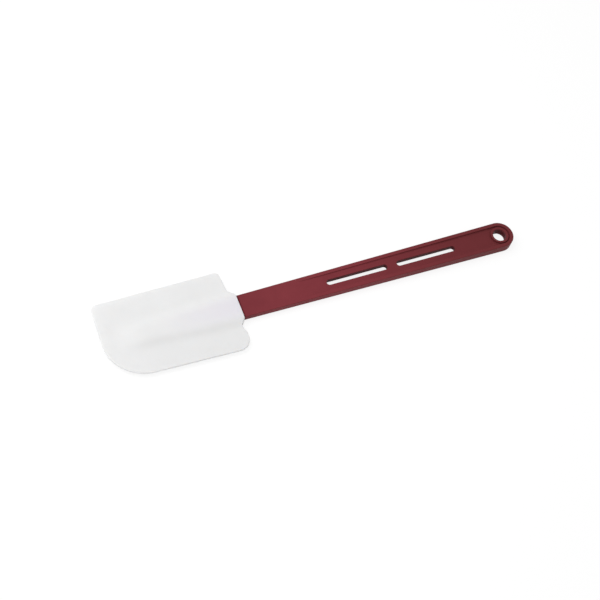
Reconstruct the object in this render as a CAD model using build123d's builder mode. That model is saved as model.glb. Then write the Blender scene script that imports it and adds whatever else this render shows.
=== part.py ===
"""Silicone bowl spatula: a nylon handle with a silicone blade moulded over its tang.

The object lies flat. +X runs from the blade's tip to the hanging hole, +Y across the blade
and +Z up. The origin is under the middle of the object, on the surface that it lies on.
All sizes are in millimetres.
"""

import os

from build123d import *

# Overall sizes
overall_length = 343.0
blade_width = 68.8
body_depth = 8.0

# Blade outline: a straight tip edge, one large corner and three small ones
tip_edge_length = 29.1
far_tip_radius = 5.0
far_tip_inset = 0.6
near_tip_inset = 2.3
far_shoulder_setback = 5.9
far_shoulder_radius = 3.5
near_shoulder_setback = 1.5
near_shoulder_radius = 9.7

# Collar: the mouth of the blade, which the handle's bar passes into
collar_reach = 106.3
collar_side_wall = 1.0
collar_flare_length = 6.0
collar_flare_width = 7.0

# Notch: the shallow scallop beside the collar
notch_radius = 14.0
notch_depth = 0.9
notch_offset = 13.5

# Depths through the blade, from its middle plane to one face
tip_edge_depth = 0.7
root_edge_depth = 1.0
tip_plate_depth = 0.85
root_plate_depth = 1.35
spine_end_depth = 3.0
spine_root_setback = 0.15
spine_mouth_inset = 3.65
spine_end_half_width = 2.4
spine_flank_width = 13.0
flank_ease_share = 0.5
spine_fade_length = 24.0
section_count = 11

# Tang: the flat paddle of the handle that the silicone grips, with windows for its keys
tang_tip_inset = 32.0
tang_depth = 3.2
tang_root_width = 15.6
tang_end_width = 12.0
seat_length = 4.0
window_count = 3
window_length = 12.0
window_width = 5.6

# Handle: a bar that grows in width and depth from its seat in the blade to the eye
root_width = 19.3
root_depth = 5.2
end_width = 23.2
handle_edge_round = 0.5
hole_radius = 5.5
hole_edge_bevel = 0.3

# Recess on each face of the handle, with a web between the two and a rim all round
web_depth = 4.4
rim_width = 3.2
plain_bar_length = 48.0
recess_ramp_length = 22.5
recess_draft = 8.0
recess_floor_round = 0.7

# Boss: the raised ring round the hanging hole, a little lower than the rim
boss_wall = 2.0
boss_depth = 7.0

# Slots through the web
slot_length = 52.0
slot_width = 4.65
slot_bridge = 8.4
slot_to_hole = 41.3
slot_edge_bevel = 0.2

# One overrun for every cut that passes right through
overrun = 2.0

# Places along X, and the plane halfway up
tip_x = -overall_length / 2
end_x = overall_length / 2
middle_z = body_depth / 2
collar_x = tip_x + collar_reach
seat_x = collar_x - seat_length
tang_end_x = tip_x + tang_tip_inset
eye_radius = end_width / 2
eye_x = end_x - eye_radius
ramp_start_x = collar_x + plain_bar_length
ramp_end_x = ramp_start_x + recess_ramp_length
half_blade = blade_width / 2
near_tip_radius = blade_width - far_tip_inset - far_tip_radius - tip_edge_length - near_tip_inset
mouth_half_width = root_width / 2 + collar_side_wall
spine_root_depth = body_depth / 2 - spine_root_setback
spine_root_half_width = mouth_half_width - spine_mouth_inset
far_shoulder_x = collar_x - far_shoulder_setback
near_shoulder_x = collar_x - near_shoulder_setback


def outline_of_bar():
    """The handle's plan: straight sides from the seat, tangent to the round eye."""
    with Locations((eye_x, 0)):
        Circle(eye_radius)
    with Locations((seat_x, 0)):
        Rectangle(overrun, root_width, align=(Align.MIN, Align.CENTER))
    make_hull()


def handle_half_depth(x):
    """Half the handle's depth at x: it grows evenly from the seat to the eye."""
    grown_share = (x - seat_x) / (eye_x - seat_x)
    return (root_depth + (body_depth - root_depth) * grown_share) / 2


# Recess tool for the upper face: a drafted pocket, cut off by the ramp at its blade end
pocket_floor_z = middle_z + web_depth / 2
with BuildPart() as recess:
    with BuildSketch(Plane.XY.offset(pocket_floor_z)):
        outline_of_bar()
        offset(amount=-rim_width, mode=Mode.REPLACE)
    extrude(amount=body_depth, taper=-recess_draft)
    fillet(recess.faces().sort_by(Axis.Z)[0].edges(), recess_floor_round)
    with BuildSketch(Plane.XZ):
        with BuildLine():
            Polyline(
                (ramp_start_x, middle_z + handle_half_depth(ramp_start_x)),
                (ramp_end_x, pocket_floor_z),
                (end_x, pocket_floor_z),
                (end_x, middle_z + body_depth),
                (ramp_start_x, middle_z + body_depth),
                close=True,
            )
        make_face()
    extrude(amount=end_width, both=True, mode=Mode.INTERSECT)

# Handle: the bar first, as its plan cut to its side view, then tang, recesses and openings
with BuildPart() as handle:
    with BuildSketch():
        outline_of_bar()
    extrude(amount=body_depth)
    with BuildSketch(Plane.XZ):
        with BuildLine():
            Polyline(
                (seat_x, middle_z - root_depth / 2),
                (eye_x, 0),
                (end_x + overrun, 0),
                (end_x + overrun, body_depth),
                (eye_x, body_depth),
                (seat_x, middle_z + root_depth / 2),
                close=True,
            )
        make_face()
    extrude(amount=end_width, both=True, mode=Mode.INTERSECT)
    long_edges = handle.edges().filter_by(Axis.Z, reverse=True).filter_by(Axis.Y, reverse=True)
    fillet(long_edges, handle_edge_round)

    # Tang, with a row of windows that the silicone fills
    window_pitch = (seat_x - tang_end_x) / window_count
    with BuildSketch(Plane.XY.offset(middle_z - tang_depth / 2)):
        with Locations((tang_end_x + tang_end_width / 2, 0)):
            Circle(tang_end_width / 2)
        with Locations((seat_x, 0)):
            Rectangle(overrun, tang_root_width, align=(Align.MIN, Align.CENTER))
        make_hull()
        with Locations((tang_end_x + window_pitch * window_count / 2, 0)):
            with GridLocations(window_pitch, 0, window_count, 1):
                SlotOverall(window_length, window_width, mode=Mode.SUBTRACT)
    extrude(amount=tang_depth)

    # Recesses in both faces
    add(recess.part, mode=Mode.SUBTRACT)
    add(recess.part.mirror(Plane.XY.offset(middle_z)), mode=Mode.SUBTRACT)

    # Boss for the hanging hole, in the middle of the eye
    with BuildSketch(Plane.XY.offset(middle_z - boss_depth / 2)):
        with Locations((eye_x, 0)):
            Circle(hole_radius + boss_wall)
    extrude(amount=boss_depth)

    # Two slots in line, and the hole through the boss
    slot_pitch = slot_length + slot_bridge
    last_slot_x = eye_x - slot_to_hole - slot_length / 2
    with BuildSketch():
        with Locations((last_slot_x, 0), (last_slot_x - slot_pitch, 0)):
            SlotOverall(slot_length, slot_width)
    extrude(amount=body_depth, mode=Mode.SUBTRACT)
    slot_edges = handle.edges(Select.LAST).filter_by(Axis.Z, reverse=True)
    chamfer(slot_edges, slot_edge_bevel)
    with BuildSketch():
        with Locations((eye_x, 0)):
            Circle(hole_radius)
    extrude(amount=body_depth, mode=Mode.SUBTRACT)
    chamfer(handle.edges(Select.LAST).filter_by(GeomType.CIRCLE), hole_edge_bevel)
handle.part.label = "handle"


def rise_share(share):
    """An even S-shaped rise from 0 to 1."""
    share = min(max(share, 0), 1)
    return share * share * (3 - 2 * share)


def across(start, end, share):
    """A size part of the way from its start value to its end value."""
    return start + (end - start) * share


def blade_section(reach):
    """The blade's cross-section at a distance from the tip: thin edges and a raised spine."""
    reach_share = reach / collar_reach
    edge = across(tip_edge_depth, root_edge_depth, reach_share)
    plate = across(tip_plate_depth, root_plate_depth, reach_share)
    spine_share = (reach - tang_tip_inset) / (collar_reach - tang_tip_inset)
    spine = across(spine_end_depth, spine_root_depth, spine_share)
    crown = across(spine_end_half_width, spine_root_half_width, max(spine_share, 0))
    fade = rise_share((reach - tang_tip_inset + spine_fade_length) / spine_fade_length)
    top = across(plate, spine, fade)
    foot = crown + spine_flank_width
    ease = spine_flank_width * flank_ease_share
    half_section = half_blade + overrun
    plate_slope = (edge - plate) / (half_section - foot)

    with BuildSketch(Plane.YZ.offset(tip_x + reach)) as section:
        with BuildLine():
            for side in (1, -1):
                crown_z = middle_z + side * top
                foot_z = middle_z + side * plate
                eased_foot = (foot - ease, middle_z + side * (plate - plate_slope * ease))
                Line((0, crown_z), (crown, crown_z))
                Bezier((crown, crown_z), (crown + ease, crown_z), eased_foot, (foot, foot_z))
                Line((foot, foot_z), (half_section, middle_z + side * edge))
            Line((half_section, middle_z + edge), (half_section, middle_z - edge))
            mirror(about=Plane.YZ)
        make_face()
    return section.sketch


# Blade: lofted along its length, cut to its outline, then moulded round the handle's tang
with BuildPart() as blade:
    loft_length = collar_reach + 2 * overrun
    loft_step = loft_length / (section_count - 1)
    loft([blade_section(step * loft_step - overrun) for step in range(section_count)])

    with BuildSketch() as outline:
        with Locations((tip_x + far_tip_radius, half_blade - far_tip_inset - far_tip_radius)):
            Circle(far_tip_radius)
        with Locations((tip_x + near_tip_radius, near_tip_radius + near_tip_inset - half_blade)):
            Circle(near_tip_radius)
        with Locations((far_shoulder_x - far_shoulder_radius, half_blade - far_shoulder_radius)):
            Circle(far_shoulder_radius)
        with Locations((near_shoulder_x - near_shoulder_radius, near_shoulder_radius - half_blade)):
            Circle(near_shoulder_radius)
        make_hull()
        notch_share = (half_blade + notch_offset) / blade_width
        shoulder_x = across(far_shoulder_x, near_shoulder_x, notch_share)
        with Locations((shoulder_x - notch_depth + notch_radius, -notch_offset)):
            Circle(notch_radius, mode=Mode.SUBTRACT)
        flare_half_width = mouth_half_width + collar_flare_width
        with BuildLine():
            Polyline(
                (collar_x, mouth_half_width),
                (collar_x - collar_flare_length, flare_half_width),
                (tip_x + tang_tip_inset, flare_half_width),
                (tip_x + tang_tip_inset, -flare_half_width),
                (collar_x - collar_flare_length, -flare_half_width),
                (collar_x, -mouth_half_width),
                close=True,
            )
        make_face()
    extrude(amount=body_depth, mode=Mode.INTERSECT)

    add(handle.part, mode=Mode.SUBTRACT)
blade.part.label = "blade"

os.makedirs("parts", exist_ok=True)
for piece in (handle.part, blade.part):
    export_step(piece, f"parts/{piece.label}.step")
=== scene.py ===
"""Looks of the silicone spatula: its moulded nylon handle and its soft white blade.

All lengths are in metres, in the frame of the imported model: +X from the blade's tip to the
hanging hole, +Y across the blade and +Z up, with the floor at zero.
"""

import math

import bpy
import numpy as np
from mathutils import Matrix, Vector
from mathutils.geometry import delaunay_2d_cdt


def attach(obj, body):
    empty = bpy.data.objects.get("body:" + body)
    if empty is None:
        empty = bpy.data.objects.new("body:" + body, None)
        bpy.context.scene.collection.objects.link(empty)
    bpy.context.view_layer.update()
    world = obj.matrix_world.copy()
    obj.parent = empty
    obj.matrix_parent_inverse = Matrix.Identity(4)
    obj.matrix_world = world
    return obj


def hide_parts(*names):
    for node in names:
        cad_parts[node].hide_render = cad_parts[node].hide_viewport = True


MM = 0.001

# Camera: a 60 mm lens that looks down on the spatula from its lower left
CAMERA_AIM = Vector((-17.10, -4.53, -1.15)) * MM
CAMERA_DISTANCE = 771.16 * MM
CAMERA_ELEVATION = math.radians(59.19)
CAMERA_HEADING = math.radians(-33.93)
CAMERA_ROLL = math.radians(14.57)
LENS_MM = 60.0
SENSOR_MM = 36.0

# Light: an even sky and one large soft lamp, in metres and watts
SKY_STRENGTH = 0.56
KEY_PLACE = (-0.29, 0.20, 0.58)
KEY_SIZE = 0.6
KEY_POWER = 2.6

# Floor: how white it is to light, and how much of the white seen is lit and how much its own
FLOOR_REACH = 3.0
FLOOR_WHITE = 0.88
FLOOR_SEEN_LIT = 0.20
FLOOR_SEEN_GLOW = 0.84

# Blade outline, with the values of the solid that this mesh stands for
TIP_X = -171.5 * MM
COLLAR_X = -65.2 * MM
HALF_BLADE = 34.4 * MM
MIDDLE_Z = 4.0 * MM
FAR_TIP_RADIUS = 5.0 * MM
FAR_TIP_INSET = 0.6 * MM
NEAR_TIP_RADIUS = 31.8 * MM
NEAR_TIP_INSET = 2.3 * MM
FAR_SHOULDER_RADIUS = 3.5 * MM
FAR_SHOULDER_SETBACK = 5.9 * MM
NEAR_SHOULDER_RADIUS = 9.7 * MM
NEAR_SHOULDER_SETBACK = 1.5 * MM
MOUTH_HALF_WIDTH = 10.65 * MM
FLARE_LENGTH = 6.0 * MM
FLARE_WIDTH = 7.0 * MM
NOTCH_RADIUS = 14.0 * MM
NOTCH_DEPTH = 0.9 * MM
NOTCH_OFFSET = 13.5 * MM

# Blade depths, from the middle plane to one face
COLLAR_REACH = 106.3 * MM
TANG_TIP_INSET = 32.0 * MM
TIP_EDGE_DEPTH = 0.7 * MM
ROOT_EDGE_DEPTH = 1.0 * MM
TIP_PLATE_DEPTH = 0.85 * MM
ROOT_PLATE_DEPTH = 1.35 * MM
SPINE_END_DEPTH = 3.0 * MM
SPINE_ROOT_DEPTH = 3.85 * MM
SPINE_END_HALF_WIDTH = 2.4 * MM
SPINE_ROOT_HALF_WIDTH = 7.0 * MM
SPINE_FLANK_WIDTH = 13.0 * MM
SPINE_FADE_LENGTH = 24.0 * MM
SECTION_OVERRUN = 2.0 * MM
FLANK_EASE_SHARE = 0.5
FLANK_STEPS = 65

# Half the width of the mould's parting line
PARTING_WIDTH = 0.12 * MM

# The middle part of a noise, which is spread over the whole range of a tone or of the gloss
TONE_SPAN = (0.3, 0.7)
GLOSS_SPAN = (0.25, 0.75)

# Nylon: two tones that it is mottled with, and the painted shade that it nears towards the eye,
# where less light falls. A noise has its scale in features per metre, its detail and its roughness
NYLON_MOTTLE = (90.0, 4.0, 0.6)
NYLON_TONES = (0.203, 0.034, 0.043), (0.223, 0.038, 0.047)
NYLON_EYE_SHADE = (0.08, 0.021, 0.016)
EYE_SHADE_SHARE = 0.36
EYE_SHADE_PLACES = (10.0 * MM, 150.0 * MM)

# The nylon's painted shade lies at the mouth, in the collar's shadow, on the bar beside it, and
# inside the openings, by depth from the middle plane and distance from the middle line
NYLON_PAINTED_SHADE = (0.07, 0.003, 0.006)
MOUTH_SHADE_SHARE = 0.95
MOUTH_SHADE_LENGTH = 2.2 * MM
BAR_SHADE_SHARE = 0.16
BAR_SHADE_LENGTH = 34.0 * MM
OPENING_SHADE_SHARE = 0.75
OPENING_SHADE_DEPTHS = (1.4 * MM, 2.4 * MM)
OPENING_SHADE_SIDES = (5.8 * MM, 6.2 * MM)

# The skins. The gloss is a noise that varies the roughness, ripple and grain have a noise's
# scale before a bump's strength and depth, and the parting line has the bump's values alone
NYLON_SKIN = {
    "gloss": (240.0, 3.0, 0.6),
    "roughness": (0.38, 0.5),
    "ripple": (260.0, 0.25, 0.06 * MM),
    "grain": (5200.0, 0.35, 0.02 * MM),
    "parting line": (0.6, 0.05 * MM),
    "refraction": 1.5,
    "specular level": 0.06,
}
SILICONE_SKIN = {
    "gloss": (320.0, 3.0, 0.6),
    "roughness": (0.42, 0.54),
    "ripple": (180.0, 0.2, 0.08 * MM),
    "grain": (4200.0, 0.3, 0.02 * MM),
    "parting line": (0.6, 0.06 * MM),
    "refraction": 1.41,
    "specular level": 0.35,
}

# Silicone: two tones that it is clouded with, its tone over the tang, by distance from the middle
# line, and the painted light that lifts the shade on its thin edge, by depth from the middle plane
SILICONE_CLOUD = (60.0, 3.0, 0.55)
SILICONE_TONES = (0.80, 0.80, 0.80), (0.82, 0.82, 0.82)
SILICONE_OVER_TANG = (0.795, 0.777, 0.82)
TANG_TINT_SIDES = (2.0 * MM, 14.0 * MM)
SILICONE_EDGE_LIGHT = (0.94, 0.94, 0.94)
SILICONE_EDGE_LIGHT_DEPTHS = (0.4 * MM, 0.8 * MM)

# How much of the light sinks into the silicone, and how far, in red, green and blue
SINK_SHARE = 0.6
SINK_REACH = 2.5 * MM
SINK_COLOUR = (1.0, 0.95, 0.9)

# Blade mesh: the soft edge all round, and how finely the faces are divided
EDGE_ROUND = 0.6 * MM
EDGE_RING_SHARES = (0.0, 0.04, 0.15, 0.32, 0.55, 0.8, 1.0)
OUTLINE_STEP = 0.4 * MM
CORNER_SOFTNESS = 0.55 * MM
SOFTNESS_REACH = 4
GRID_STEP_X = 1.6 * MM
GRID_STEP_Y = 1.0 * MM
GRID_CLEARANCE = 0.55 * MM

# The triangulation, worked out in millimetres: its output of type 1 stays inside the outline
TRIANGLES_INSIDE = 1
TRIANGLE_NEARNESS = 1e-6


def new_material(name):
    """A material with only its output and a Principled shader."""
    material = bpy.data.materials.new(name)
    material.use_nodes = True
    tree = material.node_tree
    tree.nodes.clear()
    output = tree.nodes.new("ShaderNodeOutputMaterial")
    shader = tree.nodes.new("ShaderNodeBsdfPrincipled")
    tree.links.new(shader.outputs["BSDF"], output.inputs["Surface"])
    return material, tree, shader


def noise(tree, coordinates, scale, detail=2.0, roughness=0.5):
    """A noise texture in the object's own coordinates; scale is in features per metre."""
    node = tree.nodes.new("ShaderNodeTexNoise")
    node.inputs["Scale"].default_value = scale
    node.inputs["Detail"].default_value = detail
    node.inputs["Roughness"].default_value = roughness
    tree.links.new(coordinates, node.inputs["Vector"])
    return node.outputs["Fac"]


def map_range(tree, value, from_low, from_high, to_low, to_high, ease="LINEAR"):
    """Maps a value from one range to another, evenly or with soft ends."""
    node = tree.nodes.new("ShaderNodeMapRange")
    node.interpolation_type = ease
    for socket, number in zip(node.inputs[1:5], (from_low, from_high, to_low, to_high)):
        socket.default_value = number
    tree.links.new(value, node.inputs["Value"])
    return node.outputs["Result"]


def math_node(tree, operation, first, second=None):
    """A sum in nodes; each value is a number or a socket."""
    node = tree.nodes.new("ShaderNodeMath")
    node.operation = operation
    for socket, value in zip(node.inputs, (first, second)):
        if isinstance(value, float):
            socket.default_value = value
        elif value is not None:
            tree.links.new(value, socket)
    return node.outputs["Value"]


def mix_colours(tree, factor, first, second):
    """Mixes two colours, each a tuple or a socket."""
    node = tree.nodes.new("ShaderNodeMix")
    node.data_type = "RGBA"

    # The node's sockets for numbers and vectors come before those for colours
    for socket, colour in ((node.inputs[6], first), (node.inputs[7], second)):
        if isinstance(colour, tuple):
            socket.default_value = (*colour, 1.0)
        else:
            tree.links.new(colour, socket)
    tree.links.new(factor, node.inputs[0])
    return node.outputs[2]


def bump(tree, height, strength, distance, normal=None):
    """A bump of the given depth in metres, laid over another normal if one is given."""
    node = tree.nodes.new("ShaderNodeBump")
    node.inputs["Strength"].default_value = strength
    node.inputs["Distance"].default_value = distance
    tree.links.new(height, node.inputs["Height"])
    if normal:
        tree.links.new(normal, node.inputs["Normal"])
    return node.outputs["Normal"]


def part_places(tree, coordinates):
    """Places on the object: along X, aside from the middle line, and off the middle plane."""
    axes = tree.nodes.new("ShaderNodeSeparateXYZ")
    tree.links.new(coordinates, axes.inputs[0])
    aside = math_node(tree, "ABSOLUTE", axes.outputs["Y"])
    offset = math_node(tree, "SUBTRACT", axes.outputs["Z"], MIDDLE_Z)
    return axes.outputs["X"], aside, math_node(tree, "ABSOLUTE", offset)


def parting_line(tree, off_middle):
    """A thin line halfway up, where the two halves of the mould met: 1 on the line, 0 off it."""
    return map_range(tree, off_middle, 0.0, PARTING_WIDTH, 1.0, 0.0, "SMOOTHSTEP")


def add_skin(tree, shader, coordinates, off_middle, skin):
    """A moulded skin: uneven gloss, a slow ripple, a fine grain and the parting line."""
    gloss = noise(tree, coordinates, *skin["gloss"])
    roughness = map_range(tree, gloss, *GLOSS_SPAN, *skin["roughness"])
    tree.links.new(roughness, shader.inputs["Roughness"])

    normal = None
    for scale, strength, depth in (skin["ripple"], skin["grain"]):
        normal = bump(tree, noise(tree, coordinates, scale), strength, depth, normal)
    normal = bump(tree, parting_line(tree, off_middle), *skin["parting line"], normal)
    tree.links.new(normal, shader.inputs["Normal"])
    shader.inputs["IOR"].default_value = skin["refraction"]
    shader.inputs["Specular IOR Level"].default_value = skin["specular level"]


def nylon_material():
    """Maroon moulded nylon with a satin skin: faint mottling, painted shade, uneven gloss and a
    fine grain.
    """
    material, tree, shader = new_material("maroon_nylon")
    coordinates = tree.nodes.new("ShaderNodeTexCoord").outputs["Object"]
    along, aside, off_middle = part_places(tree, coordinates)

    mottle = noise(tree, coordinates, *NYLON_MOTTLE)
    colour = mix_colours(tree, map_range(tree, mottle, *TONE_SPAN, 0.0, 1.0), *NYLON_TONES)

    # Painted shade: the skin is a little darker towards the eye, beside the blade and deep inside
    # the slots and the hole, where less light falls, and much darker right at the blade's mouth,
    # where the collar casts its shadow. This follows the photograph
    eye_shade = map_range(tree, along, *EYE_SHADE_PLACES, 0.0, EYE_SHADE_SHARE, "SMOOTHSTEP")
    colour = mix_colours(tree, eye_shade, colour, NYLON_EYE_SHADE)
    mouth_end = COLLAR_X + MOUTH_SHADE_LENGTH
    mouth_shade = map_range(tree, along, COLLAR_X, mouth_end, MOUTH_SHADE_SHARE, 0.0, "SMOOTHSTEP")
    bar_shade = map_range(tree, along, COLLAR_X, COLLAR_X + BAR_SHADE_LENGTH, BAR_SHADE_SHARE, 0.0)
    deep_shade = map_range(tree, off_middle, *OPENING_SHADE_DEPTHS, OPENING_SHADE_SHARE, 0.0, "SMOOTHSTEP")
    inner = map_range(tree, aside, *OPENING_SHADE_SIDES, 1.0, 0.0)
    # The painted shade at the mouth, on the bar and inside the openings, in one mask
    painted_shade = math_node(tree, "MAXIMUM", mouth_shade, bar_shade)
    painted_shade = math_node(tree, "MAXIMUM", painted_shade, math_node(tree, "MULTIPLY", deep_shade, inner))
    colour = mix_colours(tree, painted_shade, colour, NYLON_PAINTED_SHADE)
    tree.links.new(colour, shader.inputs["Base Color"])

    add_skin(tree, shader, coordinates, off_middle, NYLON_SKIN)
    return material


def silicone_material():
    """White silicone that light sinks into, with a powdery skin and a hint of the tang below."""
    material, tree, shader = new_material("white_silicone")
    coordinates = tree.nodes.new("ShaderNodeTexCoord").outputs["Object"]
    along, aside, off_middle = part_places(tree, coordinates)

    cloud = noise(tree, coordinates, *SILICONE_CLOUD)
    colour = mix_colours(tree, map_range(tree, cloud, *TONE_SPAN, 0.0, 1.0), *SILICONE_TONES)

    # The maroon tang tints the silicone over it, more where it is wide and near the mouth
    over = map_range(tree, aside, *TANG_TINT_SIDES, 1.0, 0.0, "SMOOTHSTEP")
    tang_places = (TIP_X + TANG_TIP_INSET, COLLAR_X)
    nearer = map_range(tree, along, *tang_places, 0.0, 1.0, "SMOOTHSTEP")
    tint = math_node(tree, "MULTIPLY", over, nearer)
    colour = mix_colours(tree, tint, colour, SILICONE_OVER_TANG)

    # Painted light: the thin edge all round is paler than the faces, which lifts the shade on it
    # and stands for the light that comes through it
    thin_edge_light = map_range(tree, off_middle, *SILICONE_EDGE_LIGHT_DEPTHS, 1.0, 0.0, "SMOOTHSTEP")
    colour = mix_colours(tree, thin_edge_light, colour, SILICONE_EDGE_LIGHT)
    tree.links.new(colour, shader.inputs["Base Color"])

    add_skin(tree, shader, coordinates, off_middle, SILICONE_SKIN)
    shader.inputs["Subsurface Weight"].default_value = SINK_SHARE
    shader.inputs["Subsurface Radius"].default_value = SINK_COLOUR
    shader.inputs["Subsurface Scale"].default_value = SINK_REACH
    return material


def seen_as_background(tree):
    """1 for the rays that look at the background, straight or by reflection, and 0 for light."""
    path = tree.nodes.new("ShaderNodeLightPath").outputs
    seen = math_node(tree, "MAXIMUM", path["Is Camera Ray"], path["Is Glossy Ray"])
    return math_node(tree, "MAXIMUM", seen, path["Is Transmission Ray"])


def floor_material():
    """A white sweep. Where it is seen, part of its white is its own, so its shadows stay light."""
    material = bpy.data.materials.new("white_floor")
    material.use_nodes = True
    tree = material.node_tree
    tree.nodes.clear()
    lit = tree.nodes.new("ShaderNodeBsdfDiffuse")
    lit.inputs["Color"].default_value = (*[FLOOR_WHITE] * 3, 1.0)
    seen = tree.nodes.new("ShaderNodeBsdfDiffuse")
    seen.inputs["Color"].default_value = (*[FLOOR_SEEN_LIT] * 3, 1.0)
    glow = tree.nodes.new("ShaderNodeEmission")
    glow.inputs["Strength"].default_value = FLOOR_SEEN_GLOW
    pale = tree.nodes.new("ShaderNodeAddShader")
    tree.links.new(seen.outputs["BSDF"], pale.inputs[0])
    tree.links.new(glow.outputs["Emission"], pale.inputs[1])
    choice = tree.nodes.new("ShaderNodeMixShader")
    tree.links.new(seen_as_background(tree), choice.inputs[0])
    tree.links.new(lit.outputs["BSDF"], choice.inputs[1])
    tree.links.new(pale.outputs["Shader"], choice.inputs[2])
    output = tree.nodes.new("ShaderNodeOutputMaterial")
    tree.links.new(choice.outputs["Shader"], output.inputs["Surface"])
    return material


def tangent_points(first, second):
    """Where a line that leaves both circles on its left touches them; a circle is x, y, radius."""
    start, end = np.array(first[:2]), np.array(second[:2])
    length = np.hypot(*(end - start))
    along = (end - start) / length
    lean = (first[2] - second[2]) / length
    outward = along * lean + np.array((along[1], -along[0])) * math.sqrt(1 - lean * lean)
    return start + outward * first[2], end + outward * second[2]


def arc_points(circle, start, end):
    """Points along a circle, counter-clockwise from one point on it to another."""
    centre = np.array(circle[:2])
    first = math.atan2(*(start - centre)[::-1])
    turn = (math.atan2(*(end - centre)[::-1]) - first) % math.tau
    count = max(2, int(turn * circle[2] / OUTLINE_STEP))
    angles = first + turn * np.linspace(0, 1, count + 1)
    return centre + circle[2] * np.stack((np.cos(angles), np.sin(angles)), 1)


def line_crossing(start, along, other_start, other_along):
    """Where two lines meet."""
    shares = np.linalg.solve(np.stack((along, -other_along), 1), other_start - start)
    return start + along * shares[0]


def circle_crossing(start, along, centre, radius, later):
    """Where a line crosses a circle, at its first crossing or its later one."""
    along = along / np.hypot(*along)
    middle = np.dot(centre - start, along)
    foot = start + along * middle
    half = math.sqrt(radius**2 - np.sum((foot - centre) ** 2))
    return foot + along * (half if later else -half)


def blade_outline():
    """The blade's plan as an even closed line of points, counter-clockwise, corners softened."""
    near_tip = (
        TIP_X + NEAR_TIP_RADIUS,
        NEAR_TIP_RADIUS + NEAR_TIP_INSET - HALF_BLADE,
        NEAR_TIP_RADIUS,
    )
    far_tip = (
        TIP_X + FAR_TIP_RADIUS,
        HALF_BLADE - FAR_TIP_INSET - FAR_TIP_RADIUS,
        FAR_TIP_RADIUS,
    )
    near_shoulder_x = COLLAR_X - NEAR_SHOULDER_SETBACK
    far_shoulder_x = COLLAR_X - FAR_SHOULDER_SETBACK
    near_shoulder = (
        near_shoulder_x - NEAR_SHOULDER_RADIUS,
        NEAR_SHOULDER_RADIUS - HALF_BLADE,
        NEAR_SHOULDER_RADIUS,
    )
    far_shoulder = (
        far_shoulder_x - FAR_SHOULDER_RADIUS,
        HALF_BLADE - FAR_SHOULDER_RADIUS,
        FAR_SHOULDER_RADIUS,
    )
    near_side = tangent_points(near_tip, near_shoulder)
    shoulder = tangent_points(near_shoulder, far_shoulder)
    far_side = tangent_points(far_shoulder, far_tip)
    tip_edge = tangent_points(far_tip, near_tip)

    # The shoulder's line is broken by the notch and by the collar that flares to the mouth
    shoulder_line = shoulder[1] - shoulder[0]
    notch_share = (HALF_BLADE + NOTCH_OFFSET) / (2 * HALF_BLADE)
    notch_x = far_shoulder_x + (near_shoulder_x - far_shoulder_x) * notch_share
    notch_centre = np.array((notch_x - NOTCH_DEPTH + NOTCH_RADIUS, -NOTCH_OFFSET))
    near_mouth = np.array((COLLAR_X, -MOUTH_HALF_WIDTH))
    far_mouth = np.array((COLLAR_X, MOUTH_HALF_WIDTH))
    near_flare = np.array((-FLARE_LENGTH, -FLARE_WIDTH))
    far_flare = np.array((-FLARE_LENGTH, FLARE_WIDTH))
    notch_start = circle_crossing(shoulder[0], shoulder_line, notch_centre, NOTCH_RADIUS, False)
    notch_end = circle_crossing(near_mouth, near_flare, notch_centre, NOTCH_RADIUS, True)
    notch_circle = (*notch_centre, NOTCH_RADIUS)
    notch = arc_points(notch_circle, notch_end, notch_start)[::-1]
    far_root = line_crossing(far_mouth, far_flare, shoulder[0], shoulder_line)

    corners = np.concatenate(
        (
            arc_points(near_tip, tip_edge[1], near_side[0]),
            arc_points(near_shoulder, near_side[1], shoulder[0]),
            notch,
            [near_mouth, far_mouth, far_root],
            arc_points(far_shoulder, shoulder[1], far_side[0]),
            arc_points(far_tip, far_side[1], tip_edge[0]),
        )
    )
    return softened(corners)


def softened(corners):
    """An even closed line through the given points, with its corners rounded a little."""
    closed = np.concatenate((corners, corners[:1]))
    reach = np.concatenate(([0], np.cumsum(np.hypot(*np.diff(closed, axis=0).T))))
    count = round(reach[-1] / OUTLINE_STEP)
    places = np.linspace(0, reach[-1], count, endpoint=False)
    line = np.stack([np.interp(places, reach, closed[:, axis]) for axis in (0, 1)], 1)
    spread = int(SOFTNESS_REACH * CORNER_SOFTNESS / OUTLINE_STEP)
    offsets = np.arange(-spread, spread + 1)
    weights = np.exp(-0.5 * (offsets * OUTLINE_STEP / CORNER_SOFTNESS) ** 2)
    weights /= weights.sum()
    return sum(weight * np.roll(line, -offset, axis=0) for weight, offset in zip(weights, offsets))


def inward_normals(line):
    """The normal at each point of a closed counter-clockwise line, towards its inside."""
    along = np.roll(line, -1, axis=0) - np.roll(line, 1, axis=0)
    along /= np.hypot(*along.T)[:, None]
    return np.stack((-along[:, 1], along[:, 0]), 1)


def flank_fall(shares):
    """How far the spine's flank has fallen, from 0 at its crown to 1 at its foot."""
    steps = np.linspace(0, 1, FLANK_STEPS)
    across = 3 * FLANK_EASE_SHARE * steps * (1 - steps) ** 2
    across += 3 * (1 - FLANK_EASE_SHARE) * steps**2 * (1 - steps) + steps**3
    fall = 3 * steps**2 * (1 - steps) + steps**3
    return np.interp(shares, across, fall)


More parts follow.
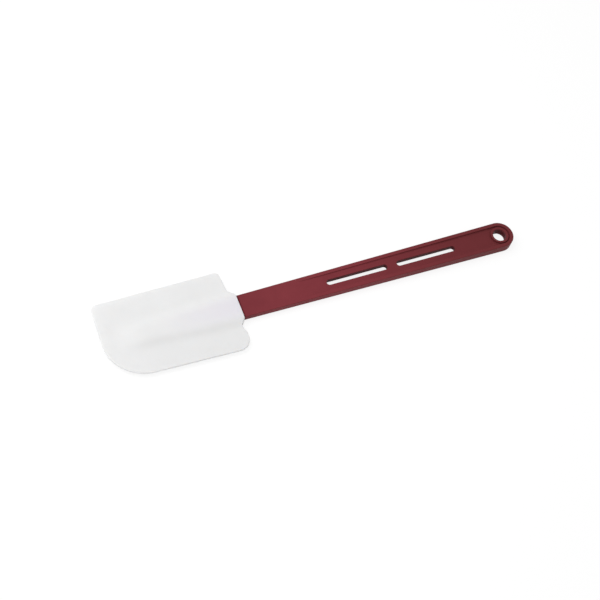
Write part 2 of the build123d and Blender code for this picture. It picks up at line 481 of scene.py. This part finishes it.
def blade_half_depth(x, y):
    """Half the blade's thickness at a place in plan."""
    reach = x - TIP_X
    share = reach / COLLAR_REACH
    edge = TIP_EDGE_DEPTH + (ROOT_EDGE_DEPTH - TIP_EDGE_DEPTH) * share
    plate = TIP_PLATE_DEPTH + (ROOT_PLATE_DEPTH - TIP_PLATE_DEPTH) * share
    spine_share = (reach - TANG_TIP_INSET) / (COLLAR_REACH - TANG_TIP_INSET)
    spine = SPINE_END_DEPTH + (SPINE_ROOT_DEPTH - SPINE_END_DEPTH) * spine_share
    crown_rise = (SPINE_ROOT_HALF_WIDTH - SPINE_END_HALF_WIDTH) * np.maximum(spine_share, 0)
    crown = SPINE_END_HALF_WIDTH + crown_rise
    fade = np.clip(1 + (reach - TANG_TIP_INSET) / SPINE_FADE_LENGTH, 0, 1)
    fade = fade * fade * (3 - 2 * fade)
    top = plate + (spine - plate) * fade
    foot = crown + SPINE_FLANK_WIDTH
    outer_share = np.clip((abs(y) - foot) / (HALF_BLADE + SECTION_OVERRUN - foot), 0, 1)
    outer = plate + (edge - plate) * outer_share
    fall = flank_fall(np.clip((abs(y) - crown) / SPINE_FLANK_WIDTH, 0, 1))
    return top + (outer - top) * fall


def blade_mesh():
    """The blade as one closed mesh: two smooth faces that roll over into the edge all round."""
    outline = blade_outline()
    inward = inward_normals(outline)
    rings = [outline + inward * EDGE_ROUND * share for share in EDGE_RING_SHARES]

    # Grid points inside the innermost ring, clear of it
    low, high = outline.min(axis=0), outline.max(axis=0)
    columns = np.arange(low[0] + GRID_STEP_X / 2, high[0], GRID_STEP_X)
    rows = np.arange(low[1] + GRID_STEP_Y / 2, high[1], GRID_STEP_Y)
    grid = np.stack(np.meshgrid(columns, rows), -1).reshape(-1, 2)
    gap = np.array([np.hypot(*(outline - point).T).min() for point in grid])
    inside = inside_outline(grid, outline)
    grid = grid[inside & (gap > EDGE_ROUND + GRID_CLEARANCE)]

    # Triangles between the innermost ring and the grid
    inner = rings[-1]
    count = len(inner)
    points = [Vector(point) for point in np.concatenate((inner, grid)) / MM]
    loop = [(i, (i + 1) % count) for i in range(count)]
    face = list(range(count))
    cut = delaunay_2d_cdt(points, loop, [face], TRIANGLES_INSIDE, TRIANGLE_NEARNESS)
    assert len(cut[0]) == len(points)
    inner_faces = [tuple(face) for face in cut[2]]

    # One side's vertices: the rings from the outline inwards, then the grid
    plan = np.concatenate(rings + [grid])
    drop = [EDGE_ROUND * (1 - math.sqrt(1 - (1 - share) ** 2)) for share in EDGE_RING_SHARES]
    drops = np.concatenate([np.full(count, value) for value in drop] + [np.zeros(len(grid))])
    half = blade_half_depth(plan[:, 0], plan[:, 1]) - drops
    vertices = [(*place, MIDDLE_Z + depth) for place, depth in zip(plan, half)]
    vertices += [(*place, MIDDLE_Z - depth) for place, depth in zip(plan, half)]
    side = len(plan)
    faces = []
    for ring in range(len(rings) - 1):
        for first, second in loop:
            a, b = ring * count + first, ring * count + second
            faces.append((a, b, b + count, a + count))
    offset = (len(rings) - 1) * count
    faces += [tuple(offset + i for i in face) for face in inner_faces]
    faces += [tuple(side + i for i in reversed(face)) for face in faces]
    faces += [(side + first, side + second, second, first) for first, second in loop]

    mesh = bpy.data.meshes.new("silicone_blade")
    mesh.from_pydata(vertices, [], faces)
    mesh.shade_smooth()
    mesh.validate()
    return mesh


def inside_outline(points, outline):
    """Whether each point is inside a closed line, by counting the sides that a ray crosses."""
    after = np.roll(outline, -1, axis=0)
    inside = np.zeros(len(points), bool)
    for (x0, y0), (x1, y1) in zip(outline, after):
        spans = (y0 > points[:, 1]) != (y1 > points[:, 1])
        if y0 != y1:
            inside ^= spans & (points[:, 0] < x0 + (points[:, 1] - y0) * (x1 - x0) / (y1 - y0))
    return inside


def add_object(name, mesh, material):
    """Links a mesh to the scene under one material."""
    thing = bpy.data.objects.new(name, mesh)
    bpy.context.scene.collection.objects.link(thing)
    mesh.materials.append(material)
    return thing


def add_camera():
    """The camera at the photograph's viewing angle."""
    data = bpy.data.cameras.new("camera")
    data.lens = LENS_MM
    data.sensor_width = SENSOR_MM
    camera = bpy.data.objects.new("camera", data)
    turn = Matrix.Rotation(CAMERA_HEADING, 4, "Z")
    turn @= Matrix.Rotation(math.pi / 2 - CAMERA_ELEVATION, 4, "X")
    back = turn.to_3x3() @ Vector((0, 0, CAMERA_DISTANCE))
    turn @= Matrix.Rotation(CAMERA_ROLL, 4, "Z")
    camera.matrix_world = Matrix.Translation(CAMERA_AIM + back) @ turn
    bpy.context.scene.collection.objects.link(camera)
    bpy.context.scene.camera = camera


def add_key():
    """The large soft lamp, which points at the middle of the object."""
    data = bpy.data.lights.new("key", "AREA")
    data.shape = "SQUARE"
    data.size = KEY_SIZE
    data.energy = KEY_POWER
    light = bpy.data.objects.new("key", data)
    light.location = KEY_PLACE
    light.rotation_euler = (-Vector(KEY_PLACE)).to_track_quat("-Z", "Y").to_euler()
    bpy.context.scene.collection.objects.link(light)


def add_floor():
    """A large pale floor under the object."""
    mesh = bpy.data.meshes.new("floor")
    signs = ((-1, -1), (1, -1), (1, 1), (-1, 1))
    corners = [(FLOOR_REACH * x, FLOOR_REACH * y, 0) for x, y in signs]
    mesh.from_pydata(corners, [], [(0, 1, 2, 3)])
    floor = add_object("floor", mesh, floor_material())


def add_world():
    """Even white light from all round, and plain white where a ray sees past the floor."""
    world = bpy.data.worlds.new("studio")
    bpy.context.scene.world = world
    world.use_nodes = True
    tree = world.node_tree
    tree.nodes.clear()
    output = tree.nodes.new("ShaderNodeOutputWorld")
    sky = tree.nodes.new("ShaderNodeBackground")
    sky.inputs["Color"].default_value = (1.0, 1.0, 1.0, 1.0)
    strength = map_range(tree, seen_as_background(tree), 0.0, 1.0, SKY_STRENGTH, 1.0)
    tree.links.new(strength, sky.inputs["Strength"])
    tree.links.new(sky.outputs["Background"], output.inputs["Surface"])


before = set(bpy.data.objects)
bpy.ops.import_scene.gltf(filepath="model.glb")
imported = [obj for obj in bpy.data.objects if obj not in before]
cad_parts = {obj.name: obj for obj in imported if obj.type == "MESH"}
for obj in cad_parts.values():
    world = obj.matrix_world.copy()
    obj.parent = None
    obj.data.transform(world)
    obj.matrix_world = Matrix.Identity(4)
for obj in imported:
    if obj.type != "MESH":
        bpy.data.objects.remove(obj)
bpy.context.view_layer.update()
bpy.context.scene.view_settings.view_transform = "Standard"
add_camera()
add_world()
add_floor()
add_key()

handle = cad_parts["handle"]
nylon = nylon_material()
for slot in handle.material_slots:
    slot.material = nylon

blade = add_object("silicone_blade", blade_mesh(), silicone_material())
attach(blade, "root")
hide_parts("blade")
